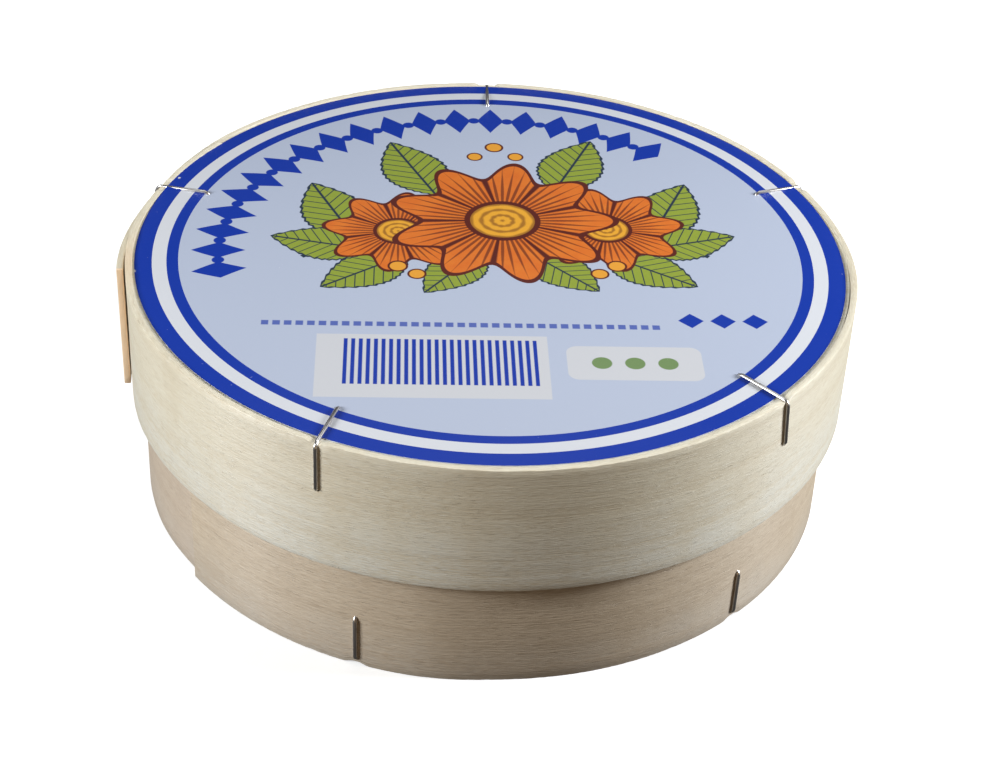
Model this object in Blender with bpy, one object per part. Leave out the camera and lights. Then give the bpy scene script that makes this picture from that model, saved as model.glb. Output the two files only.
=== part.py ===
# Shut round box of thin poplar veneer for a small soft cheese.
# A stapled lid, with a round paper label, sits over a stapled base.
# Metres, +Z up. The origin is under the middle of the box, on the surface it stands on.

import math

import bmesh
import bpy

# Lid
LID_RADIUS = 0.0500
LID_VENEER = 0.0009
LID_HOOP_HEIGHT = 0.0190
BOX_HEIGHT = 0.0354
RIM_HEIGHT = 0.0006
LID_TOP_RADIUS = 0.0485
LID_TOP_THICKNESS = 0.0011
LABEL_RADIUS = 0.04845
LABEL_THICKNESS = 0.00025

# Base
BASE_RADIUS = 0.0482
BASE_VENEER = 0.0006
BOTTOM_RECESS = 0.0012
BOTTOM_THICKNESS = 0.0011
INSIDE_RADIUS = 0.0469

# Where each hoop's outer end lies, and which way the strip runs on from there.
LID_LAP_END = 188.8
LID_LAP_RUN = -1
BASE_LAP_END = 219.0
BASE_LAP_RUN = 1
LAP_ANGLE = 42.0
LAP_EASE = 16.0
LID_LAP_OUT = 0.0009
LID_LAP_IN = 0.0003
BASE_LAP_OUT = 0.0005
BASE_LAP_IN = 0.0004

# Staples
WIRE_RADIUS = 0.00035
WIRE_BEND = 0.0007
LID_STAPLE_AZIMUTHS = (26.6, 92.6, 164.0, 246.2, 319.9)
BASE_STAPLE_AZIMUTHS = (27.0, 100.0, 176.0, 252.25, 315.5)
LID_STAPLE_INNER = 0.0422
LID_STAPLE_LOW = 0.0279
BASE_STAPLE_INNER = 0.0405
BASE_STAPLE_HIGH = 0.0081
NOTCH_DEPTH = 0.0011
NOTCH_HALF_ANGLE = 2.6

# Fineness and fit
GAP = 0.0003
HOOP_STEP = 2.5
NOTCH_STEPS = 6
DISC_SIDES = 96
BEND_STEPS = 4
SMOOTH_ANGLE = 40.0

# Heights that follow from the sizes above
LABEL_TOP = BOX_HEIGHT - RIM_HEIGHT
LID_TOP_HIGH = LABEL_TOP - LABEL_THICKNESS - GAP
LID_TOP_LOW = LID_TOP_HIGH - LID_TOP_THICKNESS
LID_HOOP_LOW = BOX_HEIGHT - LID_HOOP_HEIGHT
BASE_HIGH = LID_TOP_LOW - GAP
BOTTOM_HIGH = BOTTOM_RECESS + BOTTOM_THICKNESS

# Colours are linear, as a Principled material takes them.
LID_WOOD = (0.74, 0.64, 0.47)
BASE_WOOD = (0.54, 0.41, 0.27)
LABEL_PAPER = (0.46, 0.53, 0.72)
STEEL = (0.42, 0.41, 0.40)


def clear_scene():
    for item in list(bpy.data.objects):
        bpy.data.objects.remove(item, do_unlink=True)


def make_material(name, colour, roughness, metallic=0.0):
    material = bpy.data.materials.new(name)
    material.use_nodes = True
    shader = material.node_tree.nodes["Principled BSDF"]
    shader.inputs["Base Color"].default_value = (*colour, 1.0)
    shader.inputs["Roughness"].default_value = roughness
    shader.inputs["Metallic"].default_value = metallic
    return material


def add_part(name, bm, material):
    bmesh.ops.recalc_face_normals(bm, faces=bm.faces)
    mesh = bpy.data.meshes.new(name)
    bm.to_mesh(mesh)
    bm.free()
    mesh.shade_smooth()
    mesh.set_sharp_from_angle(angle=math.radians(SMOOTH_ANGLE))
    mesh.materials.append(material)
    part = bpy.data.objects.new(name, mesh)
    bpy.context.scene.collection.objects.link(part)
    return part


def smooth_step(value):
    value = min(1.0, max(0.0, value))
    return value * value * (3.0 - 2.0 * value)


def turned(radius, azimuth, height):
    angle = math.radians(azimuth)
    return (radius * math.cos(angle), radius * math.sin(angle), height)


def add_disc(name, radius, low, high, material):
    bm = bmesh.new()
    bmesh.ops.create_cone(
        bm, cap_ends=True, segments=DISC_SIDES, radius1=radius, radius2=radius, depth=high - low
    )
    bmesh.ops.translate(bm, verts=bm.verts, vec=(0.0, 0.0, (low + high) / 2.0))
    return add_part(name, bm, material)


# A hoop is one strip wound once round and a little more, so that its ends lap.
# The turn along the strip is 0 at the outer end and grows towards the inner end.
def lap_shift(turn, lap_out, lap_in):
    outer_layer = 1.0 - smooth_step((turn - LAP_ANGLE) / LAP_EASE)
    inner_layer = smooth_step((turn - 360.0 + LAP_EASE) / LAP_EASE)
    return lap_out * outer_layer - lap_in * inner_layer


def azimuth_between(first, second):
    return (first - second + 180.0) % 360.0 - 180.0


def notch_depth_at(azimuth, staples):
    nearest = min(abs(azimuth_between(azimuth, staple)) for staple in staples)
    return NOTCH_DEPTH * smooth_step(1.6 - 1.6 * nearest / NOTCH_HALF_ANGLE)


def hoop_turns(lap_end, lap_run, staples):
    last = 360.0 + LAP_ANGLE
    turns = {round(last * i / round(last / HOOP_STEP), 4) for i in range(round(last / HOOP_STEP) + 1)}
    for staple in staples:
        middle = (lap_run * (staple - lap_end)) % 360.0
        for i in range(-NOTCH_STEPS, NOTCH_STEPS + 1):
            near = middle + NOTCH_HALF_ANGLE * i / NOTCH_STEPS
            turns.update(round(turn, 4) for turn in (near, near + 360.0) if 0.0 < turn < last)
    return sorted(turns)


def add_hoop(name, radius, veneer, low, high, lap, shifts, staples, notch_high, material):
    lap_end, lap_run = lap
    bm = bmesh.new()
    sections = []
    for turn in hoop_turns(lap_end, lap_run, staples):
        azimuth = lap_end + lap_run * turn
        outer = radius + lap_shift(turn, *shifts)
        notch = notch_depth_at(azimuth, staples)
        top = high - notch if notch_high else high
        foot = low if notch_high else low + notch
        corners = ((outer - veneer, foot), (outer, foot), (outer, top), (outer - veneer, top))
        sections.append([bm.verts.new(turned(r, azimuth, z)) for r, z in corners])
    for near, far in zip(sections, sections[1:]):
        for i in range(4):
            j = (i + 1) % 4
            bm.faces.new((near[i], near[j], far[j], far[i]))
    bm.faces.new(sections[0])
    bm.faces.new(sections[-1])
    return add_part(name, bm, material)


# A staple is a bent wire: a run across the face, a round corner, and a leg on the side.
def staple_points(azimuth, inner, outer, face, leg_end):
    side = 1.0 if leg_end > face else -1.0
    centre_r = outer - WIRE_BEND
    centre_z = face + side * WIRE_BEND
    points = [turned(inner, azimuth, face)]
    for i in range(BEND_STEPS + 1):
        bend = math.pi / 2.0 * i / BEND_STEPS
        r = centre_r + WIRE_BEND * math.sin(bend)
        z = centre_z - side * WIRE_BEND * math.cos(bend)
        points.append(turned(r, azimuth, z))
    points.append(turned(outer, azimuth, leg_end))
    return points


def add_wire(name, points, material):
    curve = bpy.data.curves.new(name, "CURVE")
    curve.dimensions = "3D"
    curve.bevel_depth = WIRE_RADIUS
    curve.bevel_resolution = 2
    curve.use_fill_caps = True
    spline = curve.splines.new("POLY")
    spline.points.add(len(points) - 1)
    for spot, point in zip(spline.points, points):
        spot.co = (*point, 1.0)
    curve.materials.append(material)
    wire = bpy.data.objects.new(name, curve)
    bpy.context.scene.collection.objects.link(wire)
    return wire


def hoop_outside(radius, azimuth, lap, shifts):
    lap_end, lap_run = lap
    turn = (lap_run * (azimuth - lap_end)) % 360.0
    return radius + lap_shift(turn, *shifts)


def add_staples(prefix, azimuths, radius, lap, shifts, inner, face, leg_end, material):
    for number, azimuth in enumerate(azimuths, start=1):
        outer = hoop_outside(radius, azimuth, lap, shifts) + GAP + WIRE_RADIUS
        points = staple_points(azimuth, inner, outer, face, leg_end)
        add_wire(f"{prefix}_{number}", points, material)


def make_box():
    lid_lap = (LID_LAP_END, LID_LAP_RUN)
    lid_shifts = (LID_LAP_OUT, LID_LAP_IN)
    base_lap = (BASE_LAP_END, BASE_LAP_RUN)
    base_shifts = (BASE_LAP_OUT, BASE_LAP_IN)

    lid_wood = make_material("lid_wood", LID_WOOD, 0.62)
    base_wood = make_material("base_wood", BASE_WOOD, 0.66)
    paper = make_material("label_paper", LABEL_PAPER, 0.38)
    steel = make_material("staple_steel", STEEL, 0.35, metallic=1.0)

    add_disc("label", LABEL_RADIUS, LABEL_TOP - LABEL_THICKNESS, LABEL_TOP, paper)
    add_disc("lid_top", LID_TOP_RADIUS, LID_TOP_LOW, LID_TOP_HIGH, lid_wood)
    add_hoop("lid_hoop", LID_RADIUS, LID_VENEER, LID_HOOP_LOW, BOX_HEIGHT,
             lid_lap, lid_shifts, LID_STAPLE_AZIMUTHS, True, lid_wood)
    add_staples("lid_staple", LID_STAPLE_AZIMUTHS, LID_RADIUS, lid_lap, lid_shifts,
                LID_STAPLE_INNER, LABEL_TOP + GAP + WIRE_RADIUS, LID_STAPLE_LOW, steel)

    add_disc("core", INSIDE_RADIUS, BOTTOM_HIGH + GAP, BASE_HIGH, base_wood)
    add_disc("base_bottom", INSIDE_RADIUS, BOTTOM_RECESS, BOTTOM_HIGH, base_wood)
    add_hoop("base_hoop", BASE_RADIUS, BASE_VENEER, 0.0, BASE_HIGH,
             base_lap, base_shifts, BASE_STAPLE_AZIMUTHS, False, base_wood)
    add_staples("base_staple", BASE_STAPLE_AZIMUTHS, BASE_RADIUS, base_lap, base_shifts,
                BASE_STAPLE_INNER, BOTTOM_RECESS - GAP - WIRE_RADIUS, BASE_STAPLE_HIGH, steel)


clear_scene()
make_box()
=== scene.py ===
import math

import bmesh
import bpy
from mathutils import Matrix, Vector, noise


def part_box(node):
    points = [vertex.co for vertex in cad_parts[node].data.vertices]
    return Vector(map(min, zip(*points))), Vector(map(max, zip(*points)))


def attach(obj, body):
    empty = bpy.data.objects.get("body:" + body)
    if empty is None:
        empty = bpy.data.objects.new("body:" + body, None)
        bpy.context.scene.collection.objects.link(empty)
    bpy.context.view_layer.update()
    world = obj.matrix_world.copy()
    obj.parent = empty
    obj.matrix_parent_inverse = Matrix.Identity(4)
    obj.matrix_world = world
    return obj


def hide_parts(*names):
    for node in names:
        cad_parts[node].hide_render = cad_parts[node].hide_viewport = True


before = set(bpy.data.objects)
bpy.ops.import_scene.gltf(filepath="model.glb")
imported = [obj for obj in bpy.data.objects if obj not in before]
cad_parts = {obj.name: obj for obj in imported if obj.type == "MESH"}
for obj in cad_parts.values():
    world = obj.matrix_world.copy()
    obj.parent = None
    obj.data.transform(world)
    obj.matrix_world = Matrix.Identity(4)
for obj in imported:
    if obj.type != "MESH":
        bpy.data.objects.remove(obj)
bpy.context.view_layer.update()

# the lid's radius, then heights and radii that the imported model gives
lidRadius = 0.050
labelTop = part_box("label")[1][2]
labelRadius = (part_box("label")[1][0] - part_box("label")[0][0]) / 2
hoopLow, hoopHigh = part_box("lid_hoop")[0][2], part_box("lid_hoop")[1][2]
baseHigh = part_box("base_hoop")[1][2]
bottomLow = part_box("base_bottom")[0][2]


# a socket that Python's operators can work on
class Value:
    def __init__(self, look, socket):
        self.look, self.socket = look, socket

    def __add__(self, other):
        return self.look.maths("ADD", self, other)

    __radd__ = __add__

    def __sub__(self, other):
        return self.look.maths("SUBTRACT", self, other)

    def __rsub__(self, other):
        return self.look.maths("SUBTRACT", other, self)

    def __mul__(self, other):
        return self.look.maths("MULTIPLY", self, other)

    __rmul__ = __mul__

    def __truediv__(self, other):
        return self.look.maths("DIVIDE", self, other)

    def __abs__(self):
        return self.look.maths("ABSOLUTE", self)


# a material with one Principled shader, and short ways to add its nodes
class Look:
    def __init__(self, name):
        self.material = bpy.data.materials.new(name)
        self.material.use_nodes = True
        self.tree = self.material.node_tree
        self.shader = self.tree.nodes["Principled BSDF"]

    def node(self, kind, settings=None, inputs=None, out=0):
        made = self.tree.nodes.new(kind)
        for key, setting in (settings or {}).items():
            if key == "stops":
                self.setStops(made.color_ramp, setting)
            else:
                setattr(made, key, setting)
        for key, value in (inputs or {}).items():
            self.feed(made.inputs[key], value)
        return Value(self, made.outputs[out])

    def setStops(self, ramp, stops):
        ramp.interpolation = "CONSTANT"
        while len(ramp.elements) < len(stops):
            ramp.elements.new(0.5)
        for element, (position, colour) in zip(ramp.elements, stops):
            element.position = position
            element.color = (*colour, 1)

    def feed(self, socket, value):
        if isinstance(value, Value):
            self.tree.links.new(value.socket, socket)
        elif socket.type == "RGBA":
            socket.default_value = (*value, 1)
        else:
            socket.default_value = value

    def give(self, name, value):
        self.feed(self.shader.inputs[name], value)

    def maths(self, operation, *values, clamp=False):
        settings = {"operation": operation, "use_clamp": clamp}
        return self.node("ShaderNodeMath", settings, dict(enumerate(values)))

    def mix(self, factor, first, second):
        inputs = {0: factor, 6: first, 7: second}
        return self.node("ShaderNodeMix", {"data_type": "RGBA"}, inputs, out=2)

    def place(self, coords, where=(0, 0, 0), turn=0.0, scale=(1, 1, 1), kind="POINT"):
        inputs = {"Vector": coords, "Location": where, "Scale": scale,
                  "Rotation": (0, 0, math.radians(turn))}
        return self.node("ShaderNodeMapping", {"vector_type": kind}, inputs)

    def coords(self, name):
        made = self.tree.nodes.new("ShaderNodeTexCoord")
        return Value(self, made.outputs[name])

    def split(self, coords):
        made = self.tree.nodes.new("ShaderNodeSeparateXYZ")
        self.feed(made.inputs[0], coords)
        return Value(self, made.outputs[0]), Value(self, made.outputs[1])

    def length(self, coords):
        return self.node("ShaderNodeVectorMath", {"operation": "LENGTH"}, {0: coords}, out=1)

    def hypot(self, x, y):
        return self.maths("SQRT", x * x + y * y)

    def noise(self, coords, scale, detail=3.0, rough=0.55):
        inputs = {"Vector": self.place(coords, scale=scale), "Scale": 1.0,
                  "Detail": detail, "Roughness": rough}
        return self.node("ShaderNodeTexNoise", {}, inputs)

    def inside(self, distance, edge):
        return self.maths("MULTIPLY_ADD", distance, -1 / edge, 0.5, clamp=True)

    def most(self, first, second):
        return self.maths("MAXIMUM", first, second)

    def ramp(self, value, low, high):
        return self.node("ShaderNodeMapRange", {"interpolation_type": "SMOOTHSTEP"},
                         {0: value, 1: low, 2: high, 3: 0.0, 4: 1.0})

    def bump(self, height, strength, distance):
        inputs = {"Height": height, "Strength": strength, "Distance": distance}
        self.give("Normal", self.node("ShaderNodeBump", {}, inputs))


# the angles between faces from which an edge counts as a corner, and from which it is sharp
edgeAngle = {"corner": 1.0, "sharp": math.radians(40)}


def cornerEdges(bm):
    return [edge for edge in bm.edges if edge.calc_face_angle(0) > edgeAngle["corner"]]


def bevelEdges(bm, edges, offset):
    bmesh.ops.bevel(bm, geom=edges, offset=offset, segments=2, affect="EDGES", profile=0.5,
                    material=-1)


# an object that belongs to the box and takes the place of one CAD solid
def addPiece(name, data, material, node):
    data.materials.append(material)
    piece = bpy.data.objects.new(name, data)
    bpy.context.scene.collection.objects.link(piece)
    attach(piece, "root")
    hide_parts(node)


def addMesh(name, bm, material, node):
    bmesh.ops.recalc_face_normals(bm, faces=bm.faces)
    mesh = bpy.data.meshes.new(name)
    bm.to_mesh(mesh)
    bm.free()
    mesh.shade_smooth()
    mesh.set_sharp_from_angle(angle=edgeAngle["sharp"])
    addPiece(name, mesh, material, node)


# camera, from the rings and edges of the box in the photo; its offset is in lid radii
view = {"lens": 77.21, "sensor": 36.0, "elevation": 35.22, "roll": 2.74, "near": 0.01,
        "offset": (-0.023434, 0.365920, 5.886987)}


def makeCamera():
    up = math.radians(view["elevation"])
    roll = math.radians(view["roll"])
    right = Vector((1, 0, 0))
    above = Vector((0, math.sin(up), math.cos(up)))
    ahead = Vector((0, math.cos(up), -math.sin(up)))
    xAxis = math.cos(roll) * right + math.sin(roll) * above
    yAxis = math.cos(roll) * above - math.sin(roll) * right
    across, over, away = view["offset"]
    spot = -(across * xAxis + over * yAxis + away * ahead) * lidRadius
    spot.z += labelTop
    data = bpy.data.cameras.new("camera")
    data.sensor_fit = "HORIZONTAL"
    data.sensor_width = view["sensor"]
    data.lens = view["lens"]
    data.clip_start = view["near"]
    camera = bpy.data.objects.new("camera", data)
    turn = Matrix((xAxis, yAxis, -ahead)).transposed().to_4x4()
    camera.matrix_world = Matrix.Translation(spot) @ turn
    bpy.context.scene.collection.objects.link(camera)
    bpy.context.scene.camera = camera


makeCamera()
print("camera placed")

# a pale floor that glows a little, and lamps given by name, place, size, power and tint
studio = {"world": 0.05, "floor": (0.80, 0.80, 0.80), "floorLight": (0.84, 0.84, 0.84),
          "floorGrain": (9, 9, 9), "floorRough": 0.9, "floorGlow": 0.45, "floorHalf": 3.0,
          "cool": (0.97, 0.99, 1.0), "warm": (1.0, 0.64, 0.30),
          "lamps": (("left", (-0.463, -0.197, 0.235), 0.16, 3.05, "cool"),
                    ("right", (0.50, 0.02, 0.24), 0.16, 3.95, "cool"),
                    ("top", (0.0, 0.28, 0.60), 0.38, 0.95, "cool"),
                    ("front", (0.05, -0.60, 0.12), 0.30, 0.27, "warm"))}


def makeSky():
    world = bpy.data.worlds.new("studio")
    world.use_nodes = True
    sky = world.node_tree.nodes["Background"]
    sky.inputs["Color"].default_value = (1, 1, 1, 1)
    sky.inputs["Strength"].default_value = studio["world"]
    bpy.context.scene.world = world
    bpy.context.scene.view_settings.view_transform = "Standard"


def floorLook():
    look = Look("floorLook")
    grain = look.noise(look.coords("Object"), studio["floorGrain"])
    look.give("Base Color", look.mix(grain, studio["floor"], studio["floorLight"]))
    look.give("Roughness", studio["floorRough"])
    look.give("Emission Color", (1, 1, 1))
    look.give("Emission Strength", studio["floorGlow"])
    return look.material


def makeFloor():
    bm = bmesh.new()
    bmesh.ops.create_grid(bm, x_segments=1, y_segments=1, size=studio["floorHalf"])
    mesh = bpy.data.meshes.new("floor")
    bm.to_mesh(mesh)
    bm.free()
    mesh.materials.append(floorLook())
    floor = bpy.data.objects.new("floor", mesh)
    bpy.context.scene.collection.objects.link(floor)
    floor.visible_diffuse = False
    floor.visible_glossy = False


def makeLamps():
    for name, spot, size, power, tint in studio["lamps"]:
        data = bpy.data.lights.new(name, "AREA")
        data.size = size
        data.energy = power
        data.color = studio[tint]
        lamp = bpy.data.objects.new(name, data)
        lamp.location = spot
        lamp.rotation_euler = (-Vector(spot)).to_track_quat("-Z", "Y").to_euler()
        bpy.context.scene.collection.objects.link(lamp)


makeSky()
makeFloor()
makeLamps()
print("floor and lamps placed")

# veneer: fine fibres, soft bands and patches, short dark pores, and pale glints, partly painted
# highlight.
# A layer's three noise scales run along, across and through the wood. A toned stretch is a stretch
# of the strip in another tone, with the lengths between which it rises and falls: the lid's end
# grain, the base's pinker late layer, and on the lid painted shade in the crack beside its lap's
# end.
lidVeneer = {
    "pale": (0.80, 0.74, 0.59), "deep": (0.67, 0.58, 0.42), "pore": (0.40, 0.30, 0.19),
    "light": (0.90, 0.87, 0.78), "cool": (0.765, 0.745, 0.66), "coolTop": 0.015,
    "bands": (22, 420, 60), "fibres": (130, 4200, 400), "pores": (450, 7000, 300),
    "glints": (520, 5200, 300), "flecks": (800, 6400, 500), "patches": (110, 26, 40),
    "rough": 0.46, "satin": 0.9,
    "stainsAndShade": ({"share": 1.0, "fall": (0.0004, 0.0003), "tone": (0.95, 0.74, 0.52)},
               # painted shade: a warm, darker tone on the layer beside the lap's end, standing in
               # for the shade in the crack there
               {"share": 0.4, "rise": (0.304, 0.313), "fall": (0.324, 0.314),
                "tone": (0.82, 0.55, 0.31)})}
baseVeneer = {
    "pale": (0.655, 0.545, 0.41), "deep": (0.49, 0.385, 0.27), "pore": (0.24, 0.16, 0.09),
    "light": (0.78, 0.69, 0.56), "cool": (0.56, 0.49, 0.40), "coolTop": 0.010,
    "bands": (16, 330, 60), "fibres": (110, 3700, 400), "pores": (400, 6200, 300),
    "glints": (460, 4600, 300), "flecks": (700, 6000, 500), "patches": (90, 24, 40),
    "rough": 0.48, "satin": 0.8,
    "stainsAndShade": ({"share": 0.35, "rise": (0.20, 0.28), "tone": (0.62, 0.525, 0.45)},)}

# each layer's noise detail and roughness, and the values between which it comes to show
layers = {"bands": (4.0, 0.55, (0.32, 0.70)), "fibres": (4.0, 0.65, None),
          "pores": (2.0, 0.60, (0.60, 0.74)), "glints": (2.0, 0.60, (0.58, 0.72)),
          "flecks": (2.0, 0.50, None), "patches": (3.0, 0.55, None)}

# how much of each layer tells in the colour, in the shine and in the relief
figure = {"band": 0.5, "fibre": 1.8, "fleck": 2.0, "patch": 0.35, "glint": 0.5, "pore": 0.35,
          "patchShown": (0.45, 0.75), "coolWander": 0.01, "roughSwing": 0.2,
          "sheen": 0.8, "sheenTurn": 0.25,
          "fleckRelief": 0.8, "bandRelief": 0.6, "poreRelief": 0.8, "relief": 0.5, "deep": 0.00012}


def woodLayer(look, coords, wood, layer):
    detail, rough, shown = layers[layer]
    grain = look.noise(coords, wood[layer], detail, rough)
    return look.ramp(grain, *shown) if shown else grain


# lays one toned stretch on the strip: a real stain, or painted shade
def addStainOrShade(look, along, colour, stainOrShade):
    share = stainOrShade["share"]
    for side in ("rise", "fall"):
        if side in stainOrShade:
            share = look.ramp(along, *stainOrShade[side]) * share
    return look.mix(share, colour, stainOrShade["tone"])


def veneerLook(name, wood, onStrip):
    look = Look(name)
    coords = look.coords("UV" if onStrip else "Object")
    along, up = look.split(coords)
    bands, fibres, pores, glints, flecks, patches = (
        woodLayer(look, coords, wood, layer) for layer in layers)
    warm = look.ramp(up + (patches - 0.5) * figure["coolWander"], 0.0, wood["coolTop"])
    pale = look.mix(warm, wood["cool"], wood["pale"])
    streaks = (fibres - 0.5) * figure["fibre"] + (flecks - 0.5) * figure["fleck"]
    colour = look.mix(bands * figure["band"] + streaks, pale, wood["deep"])
    patched = look.ramp(patches, *figure["patchShown"]) * figure["patch"]
    colour = look.mix(patched, colour, wood["deep"])
    # painted highlight: pale glints of the satin sheen, together with the wood's own light flecks,
    # mixed into the colour
    colour = look.mix(glints * figure["glint"], colour, wood["light"])
    colour = look.mix(pores * figure["pore"], colour, wood["pore"])
    if onStrip:
        # real stains, and on the lid painted shade in the crack beside the lap's end
        for stainOrShade in wood["stainsAndShade"]:
            colour = addStainOrShade(look, along, colour, stainOrShade)
        look.give("Specular IOR Level", wood["satin"])
        look.give("Anisotropic", figure["sheen"])
        look.give("Anisotropic Rotation", figure["sheenTurn"])
    look.give("Base Color", colour)
    look.give("Roughness", (fibres - 0.5) * figure["roughSwing"] + wood["rough"])
    relief = fibres + flecks * figure["fleckRelief"] + bands * figure["bandRelief"]
    look.bump(relief - pores * figure["poreRelief"], figure["relief"], figure["deep"])
    return look.material


lidWood = veneerLook("lidVeneer", lidVeneer, onStrip=True)
baseWood = veneerLook("baseVeneer", baseVeneer, onStrip=True)
discWood = veneerLook("discVeneer", baseVeneer, onStrip=False)
lidDiscWood = veneerLook("lidDiscVeneer", lidVeneer, onStrip=False)
print("veneers mixed")

# hoops: a straight strip of veneer, bent round, with its ends lapped.
# Azimuths are in degrees. The lists under the staples' azimuths hold one value a staple:
# the notch it presses, how far its outer end dives, its lean on the side and its skew on top.
lidHoop = {
    "radius": lidRadius, "veneer": 0.0009, "low": hoopLow, "high": hoopHigh, "rows": 16, "seed": 3,
    "lapEnd": 188.8, "lapRun": -1, "lapOut": 0.0009, "lapIn": 0.0003, "lapDrop": 0.0014,
    "tight": 0.4, "backIn": 0.0004, "backDip": 0.0003, "edgeDip": 0.00022, "notchHigh": True,
    "staples": (26.6, 92.6, 164.0, 246.9, 319.3),
    "notches": (0.0005, 0.0009, 0.0005, 0.0003, 0.0003),
    "dives": (0.0008, 0.0009, 0.0009, 0.0001, 0.0001),
    "leans": (0.3, 0.0, -0.3, 0.0, 2.0),
    "skews": (0.0, 0.0, 0.0, 1.6, -0.7)}
baseHoop = {
    "radius": 0.0482, "veneer": 0.0006, "low": 0.0, "high": baseHigh, "rows": 20, "seed": 8,
    "lapEnd": 219.0, "lapRun": 1, "lapOut": 0.0005, "lapIn": 0.0004, "lapDrop": 0.0,
    "tight": 1.0, "backIn": 0.0, "backDip": 0.0, "edgeDip": 0.0, "notchHigh": False,
    "staples": (27.0, 100.0, 176.0, 252.3, 315.5),
    "notches": (0.0009, 0.0009, 0.0009, 0.0004, 0.0004),
    "dives": (0.0, 0.0, 0.0, 0.0, 0.0),
    "leans": (0.2, -0.3, 0.1, 0.2, -0.3),
    "skews": (0.0, 0.0, 0.0, 0.0, 0.0)}
bend = {"lapAngle": 42.0, "ease": 16.0, "loose": 26.0, "backFrom": -0.1, "backTo": 0.35,
        "notchHalf": 2.2, "notchFlat": 1.2, "edgeHold": 9, "steps": 1100, "bevel": 0.00012,
        "wave": 0.00010, "waveAlong": 40, "waveUp": 1.5}
ragged = {"deep": 0.00016, "topSeed": 20,
          "coarse": {"scale": 160, "share": 0.6, "seed": 0.3},
          "fine": {"scale": 900, "share": 0.5, "seed": 7.1}}


def smoothStep(value):
    value = min(1.0, max(0.0, value))
    return value * value * (3 - 2 * value)


# how far round to the back of the box a place on the strip lies, from 0 to 1
def backShare(turn, hoop):
    away = math.sin(math.radians(hoop["lapEnd"] + hoop["lapRun"] * turn))
    return smoothStep((away - bend["backFrom"]) / (bend["backTo"] - bend["backFrom"]))


def lapShift(turn, hoop):
    outer = 1 - smoothStep((turn - bend["lapAngle"]) / bend["ease"])
    inner = smoothStep((turn - 360 + bend["ease"]) / bend["ease"])
    loose = 1 - smoothStep(turn / bend["loose"])
    outer *= hoop["tight"] + (1 - hoop["tight"]) * loose
    return hoop["lapOut"] * outer - hoop["lapIn"] * inner - hoop["backIn"] * backShare(turn, hoop)


def notchAt(azimuth, hoop):
    away = [abs((azimuth - staple + 180) % 360 - 180) for staple in hoop["staples"]]
    nearest, deep = min(zip(away, hoop["notches"]))
    return deep * smoothStep(bend["notchFlat"] * (1 - nearest / bend["notchHalf"]))


def raggedAt(along, seed):
    depth = 0
    for layer in (ragged["coarse"], ragged["fine"]):
        depth += layer["share"] * noise.noise(Vector((along * layer["scale"], seed, layer["seed"])))
    return ragged["deep"] * abs(depth)


# a flat strip with its middle at the origin, its UV laid along and across it
def makeStrip(length, height, hoop):
    bm = bmesh.new()
    bmesh.ops.create_grid(bm, x_segments=bend["steps"], y_segments=hoop["rows"], size=0.5)
    half = max(v.co.x for v in bm.verts)
    bmesh.ops.scale(bm, vec=(length / (2 * half), height / (2 * half), 1), verts=bm.verts)
    bmesh.ops.solidify(bm, geom=bm.faces[:], thickness=hoop["veneer"])
    bevelEdges(bm, cornerEdges(bm), bend["bevel"])
    lift = min(v.co.z for v in bm.verts)
    layer = bm.loops.layers.uv.new("strip")
    for face in bm.faces:
        for loop in face.loops:
            x, y, z = loop.vert.co
            loop[layer].uv = (x + length / 2, y + height / 2 + z - lift)
    return bm, lift


# where a point of the flat strip comes to lie on the hoop
def bentSpot(along, up, thick, turn, height, hoop):
    azimuth = hoop["lapEnd"] + hoop["lapRun"] * turn
    waveSpot = Vector((along * bend["waveAlong"], up * bend["waveUp"], hoop["seed"]))
    wave = min(0.0, bend["wave"] * noise.noise(waveSpot))
    r = hoop["radius"] - hoop["veneer"] + thick + lapShift(turn, hoop) + wave
    notch = notchAt(azimuth, hoop)
    rise = raggedAt(along, hoop["seed"]) + (0 if hoop["notchHigh"] else notch)
    fall = raggedAt(along, hoop["seed"] + ragged["topSeed"]) + (notch if hoop["notchHigh"] else 0)
    fall += hoop["edgeDip"] + hoop["backDip"] * backShare(turn, hoop)
    sag = hoop["lapDrop"] * (1 - smoothStep(turn / (bend["lapAngle"] + bend["ease"])))
    z = hoop["low"] - sag + height * up
    z += rise * (1 - up) ** bend["edgeHold"] - fall * up ** bend["edgeHold"]
    angle = math.radians(azimuth)
    return r * math.cos(angle), r * math.sin(angle), z


def makeHoop(name, hoop, material, node):
    total = 360 + bend["lapAngle"]
    length = math.radians(total) * hoop["radius"]
    height = hoop["high"] - hoop["low"]
    bm, lift = makeStrip(length, height, hoop)
    for v in bm.verts:
        along, up, thick = v.co.x + length / 2, (v.co.y + height / 2) / height, v.co.z - lift
        v.co = bentSpot(along, up, thick, total * along / length, height, hoop)
    addMesh(name, bm, material, node)


makeHoop("lidHoopPiece", lidHoop, lidWood, "lid_hoop")
makeHoop("baseHoopPiece", baseHoop, baseWood, "base_hoop")
print("hoops bent")

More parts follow.
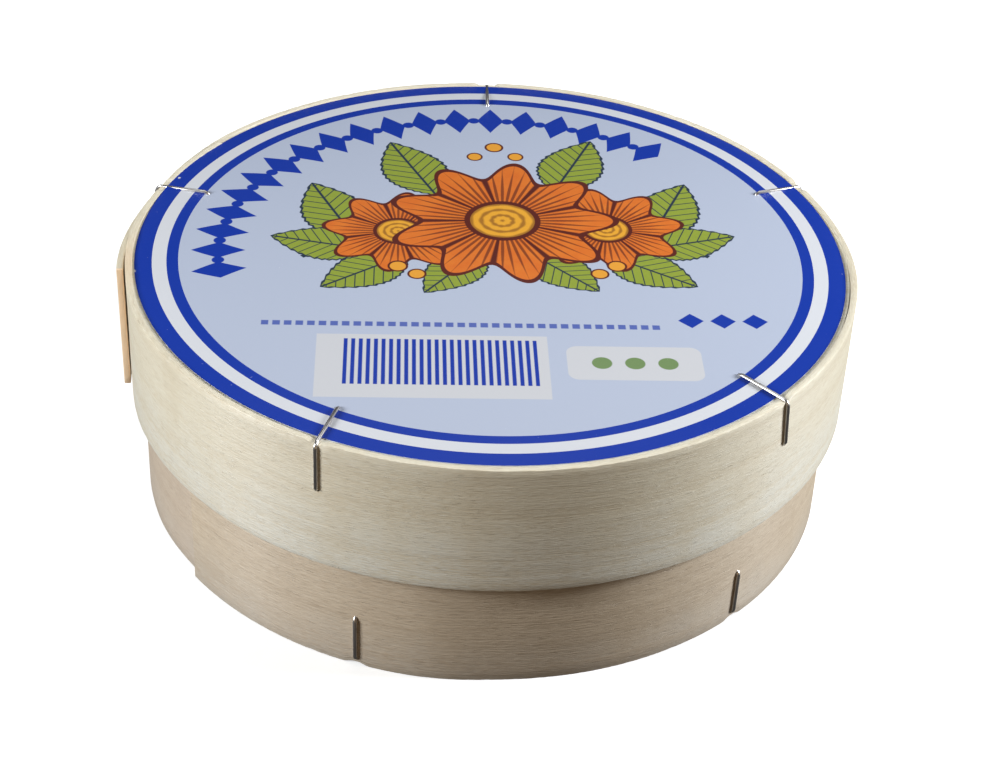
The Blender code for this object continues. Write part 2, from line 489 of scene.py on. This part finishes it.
# label print: inks, then the softness of an edge, sizes and places in shares of the lid's radius
ink = {
    "ground": (0.437, 0.486, 0.610), "blue": (0.006, 0.035, 0.335), "white": (0.625, 0.64, 0.685),
    "panel": (0.56, 0.567, 0.60), "small": (0.09, 0.13, 0.40), "spot": (0.16, 0.25, 0.10),
    "leaf": (0.285, 0.345, 0.045), "leafDeep": (0.19, 0.26, 0.035), "leafDark": (0.02, 0.035, 0.06),
    "petal": (0.60, 0.115, 0.018), "petalLight": (0.72, 0.21, 0.03),
    "petalDark": (0.10, 0.018, 0.012), "heart": (0.75, 0.36, 0.035), "berry": (0.74, 0.33, 0.04),
    "dust": (0.8, 0.82, 0.88), "haze": (0.55, 0.58, 0.66)}
blur = 0.0022
rings = {"thinIn": 0.8505, "thinOut": 0.8790, "thickIn": 0.9195, "margin": 0.001}
arc = {"middle": 123.0, "half": 73.2, "dotHalf": 71.5, "step": 7.737, "radius": 0.745,
       "high": 0.074, "wide": 0.40, "dot": 0.017, "endEdge": 0.05, "tileEdge": 0.03}
lines = {"turn": 3.5, "rowY": -0.369, "rowLeft": -0.609, "rowRight": 0.435, "rowHalf": 0.0105,
         "rowStep": 0.030, "dash": 0.33, "markX": 0.60, "markY": -0.335, "markStep": 0.085,
         "markHalf": 0.034}
stripes = {"left": -0.463, "right": 0.131, "low": -0.697, "high": -0.418, "barLeft": -0.388,
           "barRight": 0.098, "barLow": -0.640, "barHigh": -0.438, "step": 0.01944, "half": 0.0052}
badge = {"x": 0.351, "y": -0.535, "halfX": 0.174, "halfY": 0.075, "round": 0.03, "step": 0.085,
         "spot": 0.026}

# the garland hangs on an arc; along it, places are an angle and a distance out from it
garland = {"turn": 5.0, "x": 0.04, "y": -0.80, "radius": 0.95, "stem": 0.008, "half": 36.0}

# flowers, back to front: angle, half width, distance out, petals
flowers = ((-18.0, 0.215, 0.0, 8), (17.5, 0.225, 0.01, 8), (0.0, 0.33, 0.01, 9))
flowerShape = {"turn": 3, "body": 0.86, "wave": 0.14, "strokes": 3, "strokeFade": (0.95, 0.3),
               "strokeHalf": 0.30, "strokeEdge": 0.10, "strokeShare": 0.75, "gap": 0.93,
               "gapEdge": 0.08, "rim": 0.055, "tint": (5, 5, 5), "heart": 0.30, "heartRim": 0.025,
               "seedStep": 0.045, "seed": 0.018, "seedWave": 0.004, "seedEdge": 0.02,
               "seedShare": 0.6}

# leaves: angle, distance out, half length, turn
leaves = ((-25, 0.17, 0.17, 112), (25, 0.17, 0.17, 66), (-29, -0.15, 0.15, 215),
          (29, -0.15, 0.15, -35), (-31, 0.03, 0.15, 165), (31, 0.03, 0.15, 15),
          (-11, 0.33, 0.17, 112), (10, 0.34, 0.17, 66), (-12, -0.24, 0.14, 232),
          (12, -0.24, 0.14, -48))
leafShape = {"half": 0.56, "taper": 0.14, "trim": 0.02, "toothStep": 0.07, "toothLean": 0.4,
             "tooth": 0.5, "rib": 0.022, "veinStep": 0.105, "veinLean": 0.75, "vein": 0.013,
             "rim": 0.045, "tint": (9, 9, 9), "tintShare": 0.5}

# berries: angle, distance out, radius; each has a dark ring outside this share of its radius
berries = ((-22.5, -0.17, 0.028), (22.5, -0.17, 0.028), (-20.0, -0.225, 0.026),
           (20.0, -0.225, 0.026), (0.0, 0.43, 0.028), (-2.6, 0.375, 0.024), (2.6, 0.375, 0.024))
berryCore = 0.78

# wear: small pale chips on the label's edge, given by place and radius, and specks of dust
chips = ((-0.954, -0.19, 0.008), (0.222, -0.950, 0.005), (-0.905, 0.315, 0.004))
wear = {"chipGrain": (300, 300, 300), "chipRagged": 1.2, "chipEdge": 0.4,
        "dustGrain": (70, 70, 70), "dustRough": 0.7, "dustShown": (0.71, 0.78), "dustShare": 0.5,
        "hazeGrain": (2.2, 2.2, 2.2), "hazeShare": 0.02}
paperLook = {"rough": 0.26, "dustRough": 0.12, "gloss": 0.08, "grain": (40, 40, 40),
             "hazeRelief": 3, "relief": 0.25, "deep": 0.00006}


def onGarland(angle, out):
    bearing = math.radians(90 - angle)
    reach = garland["radius"] + out
    return garland["x"] + reach * math.cos(bearing), garland["y"] + reach * math.sin(bearing)


# coordinates with their origin at a spot on the label, their unit as long as size
def around(look, coords, spot, turn, size):
    return look.place(coords, (*spot, 0), turn, (size, size, 1), kind="TEXTURE")


def addLeaf(look, coords, colour, angle, out, half, turn):
    shape = leafShape
    thin = blur / half
    place = around(look, coords, onGarland(angle, out), turn, half)
    along, across = look.split(place)
    across = abs(across)
    tooth = look.maths("PINGPONG", along + across * shape["toothLean"], shape["toothStep"])
    width = (1 - along * along) * (shape["half"] - along * shape["taper"])
    width = width + tooth * shape["tooth"] - shape["trim"]
    body = look.most(across - width, abs(along) - 1)
    rib = look.inside(across - shape["rib"], thin)
    vein = look.maths("PINGPONG", along - across * shape["veinLean"], shape["veinStep"])
    vein = look.inside(vein - shape["vein"], thin)
    rim = look.inside(-shape["rim"] - body, thin)
    shade = look.noise(place, shape["tint"], 2.0)
    green = look.mix(shade * shape["tintShare"], ink["leaf"], ink["leafDeep"])
    drawn = look.mix(look.most(look.most(rib, vein), rim), green, ink["leafDark"])
    return look.mix(look.inside(body, thin), colour, drawn)


def drawPetals(look, place, reach, direction, body, petals, wave, thin):
    shape = flowerShape
    hatch = look.maths("PINGPONG", direction * (petals * shape["strokes"] / math.pi), 0.5)
    hatchHalf = look.ramp(reach, *shape["strokeFade"]) * shape["strokeHalf"]
    strokes = look.inside(hatch - hatchHalf, shape["strokeEdge"])
    gap = look.inside(wave + shape["gap"], shape["gapEdge"])
    rim = look.inside(-shape["rim"] - body, thin)
    drawn = look.mix(look.noise(place, shape["tint"], 2.0), ink["petal"], ink["petalLight"])
    drawn = look.mix(strokes * shape["strokeShare"], drawn, ink["petalDark"])
    return look.mix(look.most(gap, rim), drawn, ink["petalDark"])


def drawHeart(look, reach, wave, thin, drawn):
    shape = flowerShape
    seeds = look.maths("PINGPONG", reach, shape["seedStep"])
    seeds = look.inside(seeds - shape["seed"] + wave * shape["seedWave"], shape["seedEdge"])
    heart = look.mix(seeds * shape["seedShare"], ink["heart"], ink["petalDark"])
    drawn = look.mix(look.inside(reach - shape["heart"], thin), drawn, heart)
    rim = look.inside(abs(reach - shape["heart"]) - shape["heartRim"], thin)
    return look.mix(rim, drawn, ink["petalDark"])


def addFlower(look, coords, colour, angle, half, out, petals):
    shape = flowerShape
    thin = blur / half
    place = around(look, coords, onGarland(angle, out), angle * shape["turn"], half)
    along, across = look.split(place)
    reach = look.hypot(along, across)
    direction = look.maths("ARCTAN2", across, along)
    wave = look.maths("COSINE", direction * petals)
    body = reach - (wave * shape["wave"] + shape["body"])
    drawn = drawPetals(look, place, reach, direction, body, petals, wave, thin)
    drawn = drawHeart(look, reach, wave, thin, drawn)
    return look.mix(look.inside(body, thin), colour, drawn)


def addBerry(look, coords, colour, angle, out, size):
    reach = look.length(around(look, coords, onGarland(angle, out), 0, 1))
    colour = look.mix(look.inside(reach - size, blur), colour, ink["petalDark"])
    return look.mix(look.inside(reach - size * berryCore, blur), colour, ink["berry"])


def addGarland(look, flat, colour):
    drawing = look.place(flat, turn=-garland["turn"])
    x, y = look.split(look.place(drawing, (-garland["x"], -garland["y"], 0)))
    off = abs(look.hypot(x, y) - garland["radius"]) - garland["stem"]
    tilt = abs(look.maths("ARCTAN2", x, y)) - math.radians(garland["half"])
    stem = look.inside(off, blur) * look.inside(tilt, blur)
    colour = look.mix(stem, colour, ink["leafDark"])
    for leaf in leaves:
        colour = addLeaf(look, drawing, colour, *leaf)
    for flower in flowers:
        colour = addFlower(look, drawing, colour, *flower)
    for berry in berries:
        colour = addBerry(look, drawing, colour, *berry)
    return colour


# a row of lozenges with dots between them, along an arc
def addOrnament(look, flat, reach, colour):
    along, across = look.split(look.place(flat, turn=-arc["middle"]))
    angle = look.maths("ARCTAN2", across, along) * (180 / math.pi)
    lozengeSpan = look.inside(abs(angle) - arc["half"], arc["endEdge"])
    dotSpan = look.inside(abs(angle) - arc["dotHalf"], arc["endEdge"])
    tile = abs(look.maths("FRACT", angle / arc["step"] + 0.5) - 0.5)
    off = abs(reach - arc["radius"])
    lozenge = look.inside(tile / arc["wide"] + off / arc["high"] - 1, arc["tileEdge"])
    beside = (0.5 - tile) * (math.radians(arc["step"]) * arc["radius"])
    dot = look.inside(look.hypot(beside, off) - arc["dot"], blur)
    return look.mix(look.most(lozenge * lozengeSpan, dot * dotSpan), colour, ink["blue"])


def boxMask(look, x, y, left, right, low, high):
    dx = abs(x - (left + right) / 2) - (right - left) / 2
    dy = abs(y - (low + high) / 2) - (high - low) / 2
    return look.inside(look.most(dx, dy), blur)


# where three marks of one step can stand, the middle one at a place
def threeMarks(look, x, middle, step):
    spread = look.maths("PINGPONG", x - middle, step / 2)
    return spread, look.inside(abs(x - middle) - step * 1.5, blur)


def addLines(look, x, y, colour):
    row = boxMask(look, x, y, lines["rowLeft"], lines["rowRight"],
                  lines["rowY"] - lines["rowHalf"], lines["rowY"] + lines["rowHalf"])
    dash = look.maths("PINGPONG", x, lines["rowStep"] / 2) - lines["rowStep"] * lines["dash"]
    colour = look.mix(row * look.inside(dash, blur), colour, ink["small"])
    mark, span = threeMarks(look, x, lines["markX"], lines["markStep"])
    mark = look.inside(mark + abs(y - lines["markY"]) - lines["markHalf"], blur)
    return look.mix(mark * span, colour, ink["blue"])


def addStripes(look, x, y, colour):
    panel = boxMask(look, x, y, stripes["left"], stripes["right"], stripes["low"], stripes["high"])
    colour = look.mix(panel, colour, ink["panel"])
    bars = boxMask(look, x, y, stripes["barLeft"] - stripes["half"],
                   stripes["barRight"] + stripes["half"], stripes["barLow"], stripes["barHigh"])
    bar = look.maths("PINGPONG", x - stripes["barLeft"], stripes["step"] / 2)
    bar = look.inside(bar - stripes["half"], blur)
    return look.mix(bars * bar, colour, ink["blue"])


def addBadge(look, x, y, colour):
    dx = look.most(abs(x - badge["x"]) - (badge["halfX"] - badge["round"]), 0.0)
    dy = look.most(abs(y - badge["y"]) - (badge["halfY"] - badge["round"]), 0.0)
    panel = look.inside(look.hypot(dx, dy) - badge["round"], blur)
    colour = look.mix(panel, colour, ink["panel"])
    spot, span = threeMarks(look, x, badge["x"], badge["step"])
    spot = look.inside(look.hypot(spot, y - badge["y"]) - badge["spot"], blur)
    return look.mix(spot * span, colour, ink["spot"])


def addChip(look, flat, colour, x, y, size):
    off = look.length(around(look, flat, (x, y), 0, size))
    wander = (look.noise(flat, wear["chipGrain"], 2.0) - 0.5) * wear["chipRagged"]
    return look.mix(look.inside(off - 1 + wander, wear["chipEdge"]), colour, ink["white"])


def labelLook():
    look = Look("labelPrint")
    share = 1 / lidRadius
    flat = look.place(look.coords("Object"), scale=(share, share, 0))
    reach = look.length(flat)
    stops = ((0.0, ink["ground"]), (rings["thinIn"], ink["blue"]), (rings["thinOut"], ink["white"]),
             (rings["thickIn"], ink["blue"]), (labelRadius * share - rings["margin"], ink["white"]))
    colour = look.node("ShaderNodeValToRGB", {"stops": stops}, {0: reach})
    colour = addOrnament(look, flat, reach, colour)
    colour = addGarland(look, flat, colour)
    x, y = look.split(look.place(flat, turn=-lines["turn"]))
    for addPrint in (addLines, addStripes, addBadge):
        colour = addPrint(look, x, y, colour)
    for chip in chips:
        colour = addChip(look, flat, colour, *chip)
    dust = look.noise(flat, wear["dustGrain"], rough=wear["dustRough"])
    dusty = look.ramp(dust, *wear["dustShown"]) * wear["dustShare"]
    colour = look.mix(dusty, colour, ink["dust"])
    haze = look.noise(flat, wear["hazeGrain"], 2.0)
    look.give("Base Color", look.mix(haze * wear["hazeShare"], colour, ink["haze"]))
    look.give("Roughness", dust * paperLook["dustRough"] + paperLook["rough"])
    look.give("Specular IOR Level", paperLook["gloss"])
    relief = look.noise(flat, paperLook["grain"], 4.0) + haze * paperLook["hazeRelief"]
    look.bump(relief, paperLook["relief"], paperLook["deep"])
    return look.material


def makeDisc(sides, radius, low, high, shift=(0, 0)):
    bm = bmesh.new()
    bmesh.ops.create_cone(bm, cap_ends=True, segments=sides, radius1=radius, radius2=radius,
                          depth=high - low)
    bmesh.ops.translate(bm, verts=bm.verts, vec=(*shift, (low + high) / 2))
    return bm


labelPaper = {"sides": 240, "thick": 0.0001, "bevel": 0.00004}


def makeLabel():
    low = labelTop - labelPaper["thick"]
    middle = (low + labelTop) / 2
    bm = makeDisc(labelPaper["sides"], labelRadius, low, labelTop)
    rim = [edge for edge in cornerEdges(bm) if min(v.co.z for v in edge.verts) > middle]
    bevelEdges(bm, rim, labelPaper["bevel"])
    addMesh("labelPiece", bm, labelLook(), "label")


makeLabel()
print("label printed")

# the lid's disc fills the hoop, apart from a crack on its far right
lidDisc = {"radius": 0.04915, "sides": 240, "shift": (-0.00018, 0.00002), "under": 0.00002}


def makeLidDisc():
    low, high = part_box("lid_top")[0][2], labelTop - labelPaper["thick"] - lidDisc["under"]
    bm = makeDisc(lidDisc["sides"], lidDisc["radius"], low, high, lidDisc["shift"])
    addMesh("lidDiscPiece", bm, lidDiscWood, "lid_top")


makeLidDisc()
print("lid disc fitted")

# staples: round wire, bent over the edge, its ends pressed into the wood
wire = {"radius": 0.00027, "sink": 0.00006, "bend": 0.0007, "bendSteps": 8, "rounds": 4,
        "lidInner": 0.0422, "lidLow": 0.0279, "baseInner": 0.0405, "baseHigh": 0.0081,
        "dive": 6}

# its two ends: how far each point lies from the end's place, along the wire and into the wood
innerEnd = ((-0.0001, 0.0006), (0.0, 0.0002), (0.0005, 0.0))
outerEnd = ((0.0006, 0.0), (0.0002, 0.0002), (0.0, 0.0009))
steelTone = {"bright": (0.90, 0.89, 0.88), "dull": (0.50, 0.45, 0.41), "grain": (500, 500, 250),
             "rough": 0.24, "roughSwing": 0.2, "relief": 0.1, "deep": 0.00003}


def steelLook():
    look = Look("stapleWire")
    smear = look.noise(look.coords("Object"), steelTone["grain"], 2.0)
    look.give("Base Color", look.mix(smear, steelTone["bright"], steelTone["dull"]))
    look.give("Roughness", smear * steelTone["roughSwing"] + steelTone["rough"])
    look.give("Metallic", 1.0)
    look.bump(smear, steelTone["relief"], steelTone["deep"])
    return look.material


# the wire's distance from the box's middle, and its height, from the inner end to the outer
def wirePath(inner, outer, face, legEnd):
    side = 1 if legEnd > face else -1
    path = [(inner + run, face + side * deep) for run, deep in innerEnd]
    for i in range(wire["bendSteps"] + 1):
        bent = math.pi / 2 * i / wire["bendSteps"]
        path.append((outer - wire["bend"] * (1 - math.sin(bent)),
                     face + side * wire["bend"] * (1 - math.cos(bent))))
    path += [(outer - deep, legEnd - side * run) for run, deep in outerEnd]
    return path


def makeStaple(name, node, number, hoop, inner, face, legEnd, material):
    columns = ("staples", "leans", "skews", "dives")
    azimuth, lean, skew, dive = (hoop[column][number] for column in columns)
    turn = (hoop["lapRun"] * (azimuth - hoop["lapEnd"])) % 360
    outer = hoop["radius"] + lapShift(turn, hoop) + wire["radius"] - wire["sink"]
    path = wirePath(inner, outer, face, legEnd)
    curve = bpy.data.curves.new(name, "CURVE")
    curve.dimensions = "3D"
    curve.bevel_depth = wire["radius"]
    curve.bevel_resolution = wire["rounds"]
    curve.use_fill_caps = True
    spline = curve.splines.new("POLY")
    spline.points.add(len(path) - 1)
    for point, (r, z) in zip(spline.points, path):
        share = (r - inner) / (outer - inner)
        z -= dive * max(0.0, share) ** wire["dive"]
        angle = math.radians(azimuth - skew * (1 - share)) + lean * (face - z)
        point.co = (r * math.cos(angle), r * math.sin(angle), z, 1)
    spline.use_smooth = True
    addPiece(name, curve, material, node)


steel = steelLook()
proud = wire["radius"] - wire["sink"]
for number in range(len(lidHoop["staples"])):
    makeStaple(f"lidWire{number + 1}", f"lid_staple_{number + 1}", number, lidHoop,
               wire["lidInner"], labelTop + proud, wire["lidLow"], steel)
for number in range(len(baseHoop["staples"])):
    makeStaple(f"baseWire{number + 1}", f"base_staple_{number + 1}", number, baseHoop,
               wire["baseInner"], bottomLow - proud, wire["baseHigh"], steel)
print("staples set")

# the solids that stay as in the CAD
for node in ("core", "base_bottom"):
    for slot in bpy.data.objects[node].material_slots:
        slot.material = discWood
